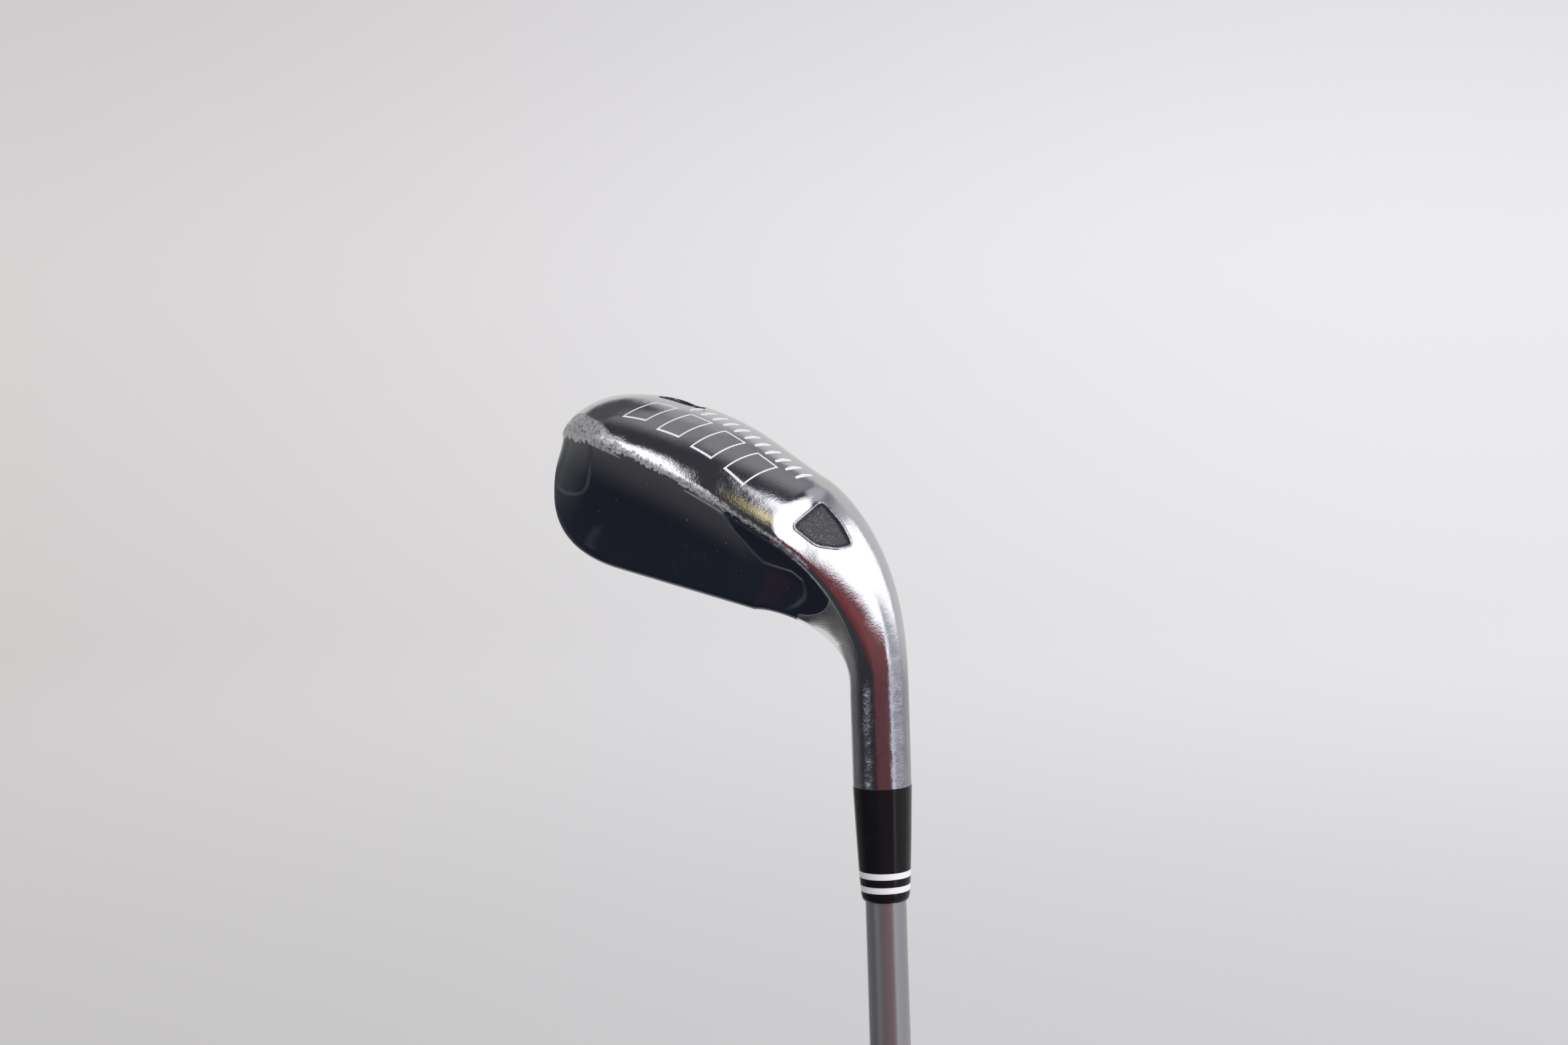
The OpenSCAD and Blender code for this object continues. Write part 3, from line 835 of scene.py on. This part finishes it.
def make_cap():
    """The butt cap, with a rounded rim, two shallow rings and the vent hole."""
    low, high = node_span("grip_cap")
    vent = 1.6
    dips = [(r, depth * sin(pi * t)) for first, last, depth in ((5.2, 6.2, 0.35), (8.6, 9.4, 0.25))
            for r, t in zip(np.linspace(first, last, 7), np.linspace(0, 1, 7))]
    swing = np.radians(np.linspace(0, 90, 12))
    rim = [(GRIP_BUTT_R - 2.6 + 2.6 * sin(a), 2.8 * (1 - cos(a))) for a in swing]
    outline = ([(vent, 0.25), (vent + 0.25, 0)] + dips + rim
               + [(GRIP_BUTT_R, high - 0.25), (GRIP_BUTT_R - 0.25, high), (vent, high)])
    return lathe("grip_cap_moulded", outline)


# ---- materials
class Nodes:
    """Short calls that build a node tree round its main shader."""

    def __init__(self, tree):
        self.tree = tree

    def add(self, kind, inputs=None, **settings):
        made = self.tree.nodes.new("ShaderNode" + kind)
        for key, value in settings.items():
            setattr(made, key, value)
        for key, value in (inputs or {}).items():
            self.put(made.inputs[key], value)
        return made

    def put(self, socket, value):
        if isinstance(value, bpy.types.NodeSocket):
            self.tree.links.new(value, socket)
        elif socket.type == "RGBA":
            socket.default_value = (*value, 1)
        else:
            socket.default_value = value

    def set(self, socket, value):
        self.put(self.tree.nodes["Principled BSDF"].inputs[socket], value)

    def math(self, operation, a, b=0):
        return self.add("Math", {0: a, 1: b}, operation=operation).outputs[0]

    def times(self, a, b):
        return self.math("MULTIPLY", a, b)

    def plus(self, a, b):
        return self.math("ADD", a, b)

    def minus(self, a, b):
        return self.math("SUBTRACT", a, b)

    def most(self, a, b):
        return self.math("MAXIMUM", a, b)

    def step(self, value, low, high, out_low=0, out_high=1):
        """A smooth step of value from out_low at low to out_high at high."""
        inputs = {"Value": value, "From Min": low, "From Max": high, "To Min": out_low, "To Max": out_high}
        return self.add("MapRange", inputs, interpolation_type="SMOOTHSTEP").outputs[0]

    def place(self, stretch=(1, 1, 1), turn=(0, 0, 0)):
        source, turn = self.add("TexCoord").outputs["Object"], [radians(a) for a in turn]
        return self.add("Mapping", {"Vector": source, "Scale": stretch, "Rotation": turn}).outputs[0]

    def noise(self, size_mm, detail=2, rough=0.5, *stretch_and_turn):
        """Noise with features of about size_mm, as a value round a half."""
        inputs = {"Vector": self.place(*stretch_and_turn), "Scale": 1 / (size_mm * MM), "Detail": detail,
                  "Roughness": rough}
        return self.add("TexNoise", inputs).outputs[0]

    def blend(self, factor, a, b):
        mix = self.add("Mix", {"Factor": factor}, data_type="RGBA")
        self.put(mix.inputs[6], a)
        self.put(mix.inputs[7], b)
        return mix.outputs[2]

    def value(self, name):
        return self.add("Attribute", attribute_name=name).outputs["Fac"]

    def dot(self, a, b):
        return self.add("VectorMath", {0: a, 1: b}, operation="DOT_PRODUCT").outputs["Value"]

    def surface(self, colour, rough, height, depth_mm):
        """The main shader's colour, roughness and bump."""
        self.set("Base Color", colour)
        self.set("Roughness", rough)
        self.set("Normal", self.add("Bump", {"Height": height, "Distance": depth_mm * MM}).outputs[0])

    def scratches(self, kinds, thin=0.012, stretch=0.03):
        """Long thin lines of several sizes and directions: 1 on a line and 0 between."""
        most = 0
        for size_mm, turn in kinds:
            lines = self.noise(size_mm, 1, 0.4, (1, 1, stretch), turn)
            line = self.step(self.math("ABSOLUTE", self.minus(lines, 0.5)), 0, thin, 1, 0)
            most = self.most(most, self.times(line, self.step(self.noise(6), 0.52, 0.7)))
        return most


def new_material(name, **sockets):
    """A material whose plain values sit straight on its shader's sockets."""
    made = bpy.data.materials.new(name)
    made.use_nodes = True
    n = Nodes(made.node_tree)
    for key, value in sockets.items():
        n.set(key.replace("_", " "), value)
    return made, n


def chrome_look(n):
    """Polished chrome, rougher down the hosel and painted darker there as a painted dark reflection: its
    colour, roughness and height, with fine hairlines.
    """
    lines = n.scratches((
        (0.8, (12, 34, 20)), (0.6, (80, -25, 40)), (0.9, (-40, 62, 10)), (0.5, (5, 88, 70))))
    rub = n.step(n.noise(7, 4, 0.6), 0.42, 0.72)
    fine = n.times(n.noise(0.45, 3, 0.65), n.step(n.noise(5, 3), 0.35, 0.65, 0.4, 1.6))
    # Up the hosel the metal is made rougher and its colour darker, a painted dark reflection
    dull = n.step(n.value("up_hosel"), 20, 38, 1, 0)
    colour = n.blend(n.times(rub, 0.25), (0.62, 0.62, 0.64), (0.54, 0.54, 0.56))
    # The hosel's painted dark reflection colour, laid over the chrome
    hosel_painted_shade = n.blend(n.noise(1.6, 4, 0.7, (1, 1, 0.3)), (0.24, 0.245, 0.28), (0.42, 0.425, 0.46))
    colour = n.blend(dull, colour, hosel_painted_shade)
    rough = n.plus(n.times(rub, 0.04), n.times(lines, 0.12))
    rough = n.plus(rough, n.plus(0.06, n.times(dull, 0.1)))
    height = n.minus(n.times(fine, 2.6), n.times(lines, 0.22))
    waves = n.times(n.noise(2.6, 3, 0.55), n.plus(2, n.times(dull, 9)))
    return colour, rough, n.plus(height, waves)


def rubbed_and_highlighted(n, colour, rough, height, band):
    """Adds the rubbed grey band, 1 where the metal is rubbed rough; its pale colour is partly a painted
    highlight along the ridge.
    """
    grain = n.noise(0.25, 4, 0.7)
    dents = n.step(n.noise(0.8, 4, 0.7), 0.48, 0.58)
    # Pale grey of the band: rubbed metal, and in part a painted highlight
    pale = n.blend(dents, (0.7, 0.69, 0.71), (0.3, 0.29, 0.31))
    colour = n.blend(band, colour, pale)
    rough = n.plus(rough, n.times(band, n.plus(0.16, n.times(grain, 0.22))))
    extra = n.minus(n.times(grain, 1.2), n.times(dents, 2.2))
    metal = n.minus(1, n.times(band, 0.5))
    return colour, rough, n.plus(height, n.times(band, extra)), metal


def wear_and_highlight_band(n):
    """1 on the rubbed band beside the ridge, ragged at its edge; partly wear, partly a painted highlight.
    """
    distance = n.value("from_ridge")
    ragged = n.times(n.minus(n.noise(1.1, 4, 0.65), 0.5), 2.6)
    reach = n.plus(n.value("worn"), ragged)
    return n.times(n.step(n.minus(reach, n.math("ABSOLUTE", distance)), -0.25, 0.6), 0.9)


def chrome_material():
    made, n = new_material("chrome_steel")
    colour, rough, height, metal = rubbed_and_highlighted(n, *chrome_look(n), wear_and_highlight_band(n))
    n.set("Metallic", metal)
    n.surface(colour, rough, height, 0.01)
    return made


def crown_material():
    """Gloss black paint, chipped to dull grey metal and then to chrome along its edge."""
    made, n = new_material("black_paint", Specular_IOR_Level=0.7, Coat_Weight=0.15, Coat_Roughness=0.03)
    distance = n.value("paint")
    side = n.value("toe_side")
    toe = n.step(side, 50, 64)
    chips = n.times(n.minus(n.noise(1.7, 5, 0.68), 0.5), 6.4)
    chips = n.times(chips, n.step(distance, 4, 1.2, 0.1, 1))
    tip = n.step(side, 0, 7, 0.1, 1)
    chips = n.times(chips, tip)
    edge = n.plus(distance, chips)
    paint = n.step(edge, -0.04, 0.05)
    small = n.step(n.noise(0.9, 3, 0.5), 0.755, 0.775)
    paint = n.times(paint, n.minus(1, small))
    primer_reach = n.plus(-0.35, n.times(n.noise(2.4, 3), 2.2))
    primer_reach = n.plus(primer_reach, n.times(toe, 0.8))
    primer = n.times(n.step(n.plus(edge, primer_reach), 0, 0.2), tip)
    colour, rough, height, metal = rubbed_and_highlighted(n, *chrome_look(n), wear_and_highlight_band(n))
    bare_primer = n.blend(n.step(side, 14, 36), (0.25, 0.235, 0.24), (0.62, 0.61, 0.615))
    colour = n.blend(primer, colour, bare_primer)
    metal = n.times(metal, n.minus(1, n.times(primer, 0.6)))
    rough = n.most(rough, n.times(primer, 0.5))
    lines = n.scratches(((0.7, (20, 30, 60)), (0.8, (75, 10, 20)), (0.6, (-30, 50, 80))), 0.006, 0.12)
    ink = n.blend(n.noise(9, 3), (0.0105, 0.012, 0.02), (0.0135, 0.015, 0.024))
    # The painted sheen and the pads' painted highlight: grey painted into the black where reflections fall
    ink = n.blend(n.value("haze"), ink, (0.078, 0.077, 0.08))
    ink = n.blend(n.times(lines, 0.1), ink, (0.25, 0.26, 0.28))
    smooth = n.plus(0.06, n.times(n.step(n.noise(5, 4, 0.6), 0.45, 0.75), 0.05))
    smooth = n.plus(smooth, n.times(lines, 0.2))
    n.set("Specular Tint", n.blend(paint, (1, 1, 1), (0.6, 0.86, 1)))
    bare = n.minus(1, paint)
    n.set("Metallic", n.times(metal, bare))
    rough = n.plus(n.times(rough, bare), n.times(smooth, paint))
    layer = n.plus(n.times(paint, 5), n.times(height, bare))
    n.surface(n.blend(paint, colour, ink), rough, layer, 0.01)
    return made


def insert_material():
    """Dark compound with a fine sparkling grain."""
    made, n = new_material("dark_insert", Specular_IOR_Level=0.6)
    grain = n.noise(0.22, 3, 0.7)
    flakes = n.add("TexVoronoi", {"Vector": n.place(), "Scale": 1 / (0.24 * MM)}, feature="F1")
    bright = n.step(n.add("SeparateColor", {0: flakes.outputs["Color"]}).outputs[0], 0.8, 0.95)
    colour = n.blend(grain, (0.018, 0.017, 0.02), (0.062, 0.06, 0.066))
    colour = n.blend(n.times(bright, 0.55), colour, (0.3, 0.29, 0.3))
    half_bright = n.times(bright, 0.5)
    n.set("Metallic", half_bright)
    n.surface(colour, n.step(grain, 0.3, 0.7, 0.34, 0.6), n.plus(grain, half_bright), 0.05)
    return made


def face_material():
    """Blasted steel with faint rings from milling."""
    made, n = new_material("face_steel", Metallic=1)
    grain = n.noise(0.18, 3, 0.7)
    patch = n.noise(9, 4, 0.6)
    mill = n.noise(0.35, 2, 0.5, (0.04, 1, 1), (0, 25, 0))
    scuff = n.step(n.noise(2, 4, 0.65), 0.58, 0.66)
    colour = n.blend(patch, (0.4, 0.4, 0.41), (0.52, 0.52, 0.53))
    colour = n.blend(n.times(scuff, 0.4), colour, (0.62, 0.61, 0.6))
    n.surface(colour, n.plus(0.24, n.times(grain, 0.2)), n.plus(grain, n.times(mill, 0.8)), 0.012)
    return made


def gloss_material(name, dark, light, rough):
    """Moulded plastic with a polished skin and light handling marks."""
    made, n = new_material(name, Specular_IOR_Level=0.2)
    lines = n.scratches(((0.7, (60, 20, 0)), (0.5, (10, 80, 30))))
    soft = n.noise(4, 3, 0.6)
    rough = n.plus(n.step(soft, 0.3, 0.7, rough, rough + 0.06), n.times(lines, 0.2))
    n.surface(n.blend(soft, dark, light), rough, n.minus(n.times(soft, 0.6), n.times(lines, 0.5)), 0.006)
    return made


def mark_material():
    """White paint, worn grey in places."""
    made, n = new_material("white_marks", Specular_IOR_Level=0.4)
    worn = n.noise(0.5, 4, 0.7)
    colour = n.blend(n.step(worn, 0.55, 0.7), (0.8, 0.8, 0.82), (0.5, 0.5, 0.52))
    n.surface(colour, n.step(worn, 0.3, 0.7, 0.35, 0.6), worn, 0.01)
    return made


def shaft_material():
    """Satin grey paint with a fine metal flake."""
    made, n = new_material("shaft_paint", Metallic=0.75, Coat_Weight=0.4, Coat_Roughness=0.22)
    flake = n.noise(0.16, 2, 0.8)
    cloud = n.noise(12, 3, 0.6, (1, 1, 0.15))
    spot = n.step(n.noise(0.45, 3, 0.7), 0.68, 0.74)
    colour = n.blend(flake, (0.215, 0.21, 0.225), (0.36, 0.355, 0.37))
    colour = n.blend(n.times(cloud, 0.5), colour, (0.27, 0.265, 0.28))
    colour = n.blend(n.times(spot, 0.5), colour, (0.62, 0.61, 0.63))
    n.surface(colour, n.step(flake, 0.3, 0.7, 0.3, 0.4), flake, 0.006)
    return made


def rubber_material(name, dark, light):
    made, n = new_material(name, Specular_IOR_Level=0.35)
    grain = n.noise(0.5, 4, 0.7)
    dust = n.step(n.noise(14, 4, 0.6), 0.5, 0.75)
    colour = n.blend(n.times(dust, 0.3), n.blend(grain, dark, light), (0.075, 0.073, 0.07))
    n.surface(colour, n.step(grain, 0.3, 0.7, 0.55, 0.75), grain, 0.05)
    return made


def plain_material(name, dark, light, rough, metallic=0, size=0.8, detail=4, spread=0.15, depth=0.02):
    """A mottled material for the pockets and for the pieces inside the joint."""
    made, n = new_material(name, Metallic=metallic)
    mottle = n.noise(size, detail, 0.6)
    n.surface(n.blend(mottle, dark, light), n.step(mottle, 0.3, 0.7, rough, rough + spread), mottle, depth)
    return made


# ---- the club's pieces
chrome = chrome_material()
pocket_steel = plain_material(
    "pocket_steel", (0.45, 0.45, 0.47), (0.6, 0.6, 0.62), 0.12, 1, 0.4, 3, 0.12, 0.006)
insert = insert_material()
ferrule_black = gloss_material("ferrule_black", (0.006, 0.006, 0.007), (0.01, 0.01, 0.012), 0.1)
ferrule_white = gloss_material("ferrule_white", (0.76, 0.76, 0.77), (0.82, 0.82, 0.83), 0.22)
grip_rubber = rubber_material("grip_rubber", (0.012, 0.012, 0.012), (0.024, 0.024, 0.024))

shell, shell_points = make_shell()
finish_piece(shell, chrome, "chrome_steel", "head_body")
shell.data.materials.append(pocket_steel)
finish_piece(make_crown(), crown_material(), "black_paint", "crown_panel")

sole_tree = BVHTree.FromPolygons(
    (shell_points.reshape(-1, 3) * MM).tolist(), quads(*shell_points.shape[:2], True))
finish_piece(make_marks(sole_tree), mark_material(), "white")
for part, (outline, where) in POCKETS.items():
    finish_piece(make_inlay(part + "_pad", outline, where), insert, "dark_insert", part)

finish_piece(make_rim(sole_tree), chrome, "chrome_steel")

for part, piece in make_ferrule().items():
    look = (ferrule_white, "white") if "_ring_" in part else (ferrule_black, "ferrule_black")
    finish_piece(piece, *look, part)
finish_piece(make_shaft(), shaft_material(), "shaft_paint", "shaft")
finish_piece(make_grip(), grip_rubber, "grip_rubber", "grip_sleeve")
finish_piece(make_cap(), grip_rubber, "grip_rubber", "grip_cap")

KEPT_PARTS = {
    "face_plate": face_material(),
    "swing_weight_pin": plain_material("brass", (0.52, 0.36, 0.14), (0.62, 0.45, 0.2), 0.3, 1),
    "shaft_epoxy": plain_material("epoxy", (0.55, 0.42, 0.2), (0.66, 0.53, 0.28), 0.35),
    "grip_tape": plain_material("tape", (0.62, 0.56, 0.4), (0.72, 0.66, 0.5), 0.6),
}
for part, look in KEPT_PARTS.items():
    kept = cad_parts[part].data.materials
    kept.clear()
    kept.append(look)


# ---- floor, backdrop and light
def make_stage():
    """A floor that sweeps up into a round wall, seen only by the camera; it glows with painted light,
    brighter towards one side and dimmer far out and high up.
    """
    flat_r, wall_r, bend_r, top = 5.5, 9.5, 3, 9
    swing = np.radians(np.linspace(0, 90, 24))
    bend = [(wall_r - bend_r + bend_r * sin(a), bend_r * (1 - cos(a))) for a in swing]
    profile = [(0.001, 0)] + [(r, 0) for r in np.linspace(0.6, flat_r, 10)] + bend + [(wall_r, top)]
    verts = spun(*np.transpose(profile) / MM, 128).reshape(-1, 3)
    floor = new_object("floor_sweep", verts, [f[::-1] for f in quads(len(profile), 128, True)])
    made, n = new_material("stage_paper", Specular_IOR_Level=0, Roughness=1, Emission_Strength=1)
    where = n.add("TexCoord").outputs["Object"]
    sideways = n.dot(where, Vector((-0.87, -0.49, 0)))
    outward = n.add("VectorMath", {0: n.place((1, 1, 0))}, operation="LENGTH").outputs["Value"]
    height = n.add("SeparateXYZ", {0: where}).outputs["Z"]
    # Painted light: the glow is brighter towards one side, dimmer far out on the floor and high up the wall
    glow = n.blend(n.step(sideways, -2.4, 1.6), (0.452, 0.434, 0.423), (0.655, 0.65, 0.68))
    painted_falloff = n.times(n.step(outward, 2.4, 6, 0.72, 1), n.step(height, 0.5, 1.5, 1, 0.82))
    n.set("Base Color", n.blend(n.noise(400), (0.295, 0.293, 0.29), (0.305, 0.303, 0.3)))
    n.set("Emission Color", n.blend(painted_falloff, (0, 0, 0), glow))
    floor.data.materials.append(made)
    floor.visible_glossy = floor.visible_diffuse = floor.visible_shadow = floor.visible_transmission = False


def patch_mask(n, source, azimuth, half_wide, elevation, half_high, soft):
    """1 on a patch of the sky, 0 off it. Azimuth 0 is -Y and 90 is +X; all are in degrees."""
    turn = radians(azimuth)
    ahead, side = Vector((sin(turn), -cos(turn), 0)), Vector((cos(turn), sin(turn), 0))
    across = n.math("ABSOLUTE", n.math("ARCTAN2", n.dot(source, side), n.dot(source, ahead)))
    up = n.math("ARCSINE", n.add("SeparateXYZ", {0: source}).outputs["Z"])
    high = n.math("ABSOLUTE", n.minus(up, radians(elevation)))
    within = [n.step(value, radians(half - soft), radians(half + soft), 1, 0)
              for value, half in ((across, half_wide), (high, half_high))]
    return n.times(*within)


# Patches of the room, each painted over those before it:
# azimuth, half width, elevation, half height, soft edge, colour
ROOM = (0.055, 0.056, 0.065)
PATCHES = (
    (0, 180, 80, 22, 13, (0.32, 0.32, 0.34)),
    (0, 120, -80, 26, 12, (0.45, 0.44, 0.43)),
    (62, 50, 10, 62, 20, (0.27, 0.265, 0.26)),
    (-30, 74, -20, 74, 8, (0.56, 0.56, 0.6)),
    (8, 54, -10, 66, 8, (0.74, 0.73, 0.725)),
    (20, 24, 62, 12, 6, (0.48, 0.48, 0.49)),
    (71, 37, 47, 20, 5, (0.11, 0.11, 0.12)),
    (-164, 17, -34, 8, 3, (0.24, 0.05, 0.06)),
    (-143, 24, -22, 14, 4, (0.2, 0.055, 0.062)),
    (-108, 56, 13, 20, 5, (1.7, 1.7, 1.8)),
    (-129, 30, -13, 9, 5, (1.7, 1.7, 1.8)),
    (154, 13, 10, 14, 4, (2.4, 2.4, 2.5)),
    (-170, 4, 10, 4, 2.5, (1.3, 1.1, 0.5)),
)
# The pale table top below on the toe side, as a cone: direction and its two half angles
TABLE_AIM = Vector((0.4575, -0.412, -0.788))
TABLE_CONE = (24, 33)
TABLE_GLOW = (0.95, 0.94, 0.93)


def make_world():
    """The studio that the metal reflects: a dark room, pale backdrop and table, and large soft lights."""
    world = bpy.data.worlds.new("studio")
    bpy.context.scene.world = world
    world.use_nodes = True
    n = Nodes(world.node_tree)
    source = n.add("TexCoord").outputs["Generated"]
    colour = ROOM
    for *shape, glow in PATCHES:
        colour = n.blend(patch_mask(n, source, *shape), colour, glow)
    inner, outer = (cos(radians(a)) for a in TABLE_CONE)
    colour = n.blend(n.step(n.dot(source, TABLE_AIM), outer, inner), colour, TABLE_GLOW)
    n.put(world.node_tree.nodes["Background"].inputs["Color"], colour)


# A dark red card beside the shaft, seen only in reflections: where it stands round the shaft in degrees,
# its distance and half width in mm, its ends and its colour
CARD_TURN, CARD_AWAY, CARD_HALF = -141.5, 40, 22
CARD_LOW, CARD_HIGH = HOSEL_Z - 340, HOSEL_Z + 26
CARD_RED = (0.26, 0.092, 0.098)


def make_card():
    turn = radians(CARD_TURN)
    middle = CARD_AWAY * np.array([sin(turn), -cos(turn)])
    side = CARD_HALF * np.array([cos(turn), sin(turn)])
    corners = ((-1, CARD_LOW), (1, CARD_LOW), (1, CARD_HIGH), (-1, CARD_HIGH))
    verts = [(*(middle + side * s), z) for s, z in corners]
    card = new_object("red_card", verts, [(0, 1, 2, 3)], 0)
    made, _ = new_material("red_card", Base_Color=(0, 0, 0), Specular_IOR_Level=0,
                           Emission_Strength=1, Emission_Color=CARD_RED)
    card.data.materials.append(made)
    card.visible_camera = card.visible_diffuse = card.visible_shadow = card.visible_transmission = False


make_world()
make_stage()
make_card()


def soft_light(name, place_at, aim_at, size, watts):
    data = bpy.data.lights.new(name, "AREA")
    data.shape, data.size, data.energy = "DISK", size, watts
    lamp = bpy.data.objects.new(name, data)
    lamp.location = place_at
    lamp.rotation_euler = (Vector(aim_at) - Vector(place_at)).to_track_quat("-Z", "Y").to_euler()
    lamp.visible_camera = lamp.visible_glossy = False
    bpy.context.scene.collection.objects.link(lamp)


soft_light("key", (-2.6, 1.2, 3.4), (0, 0, 0.7), 2.2, 60)
soft_light("fill", (2.8, 1.6, 2.6), (0, 0, 0.5), 2.6, 25)

# ---- camera
CAMERA_AT = (-0.3977, 0.73861, 1.05806)
CAMERA_AIM = Vector((0.49206818, -0.86252764, -0.11796179))
CAMERA_ROLL = radians(-1.94)
lens = bpy.data.cameras.new("photo_view")
lens.lens, lens.sensor_width = 85, 36
lens.clip_start, lens.clip_end = 0.02, 60
camera = bpy.data.objects.new("photo_view", lens)
camera.location = CAMERA_AT
looking = CAMERA_AIM.to_track_quat("-Z", "Y").to_matrix() @ Matrix.Rotation(CAMERA_ROLL, 3, "Z")
camera.rotation_euler = looking.to_euler()
bpy.context.scene.collection.objects.link(camera)
bpy.context.scene.camera = camera
bpy.context.scene.view_settings.view_transform = "Standard"
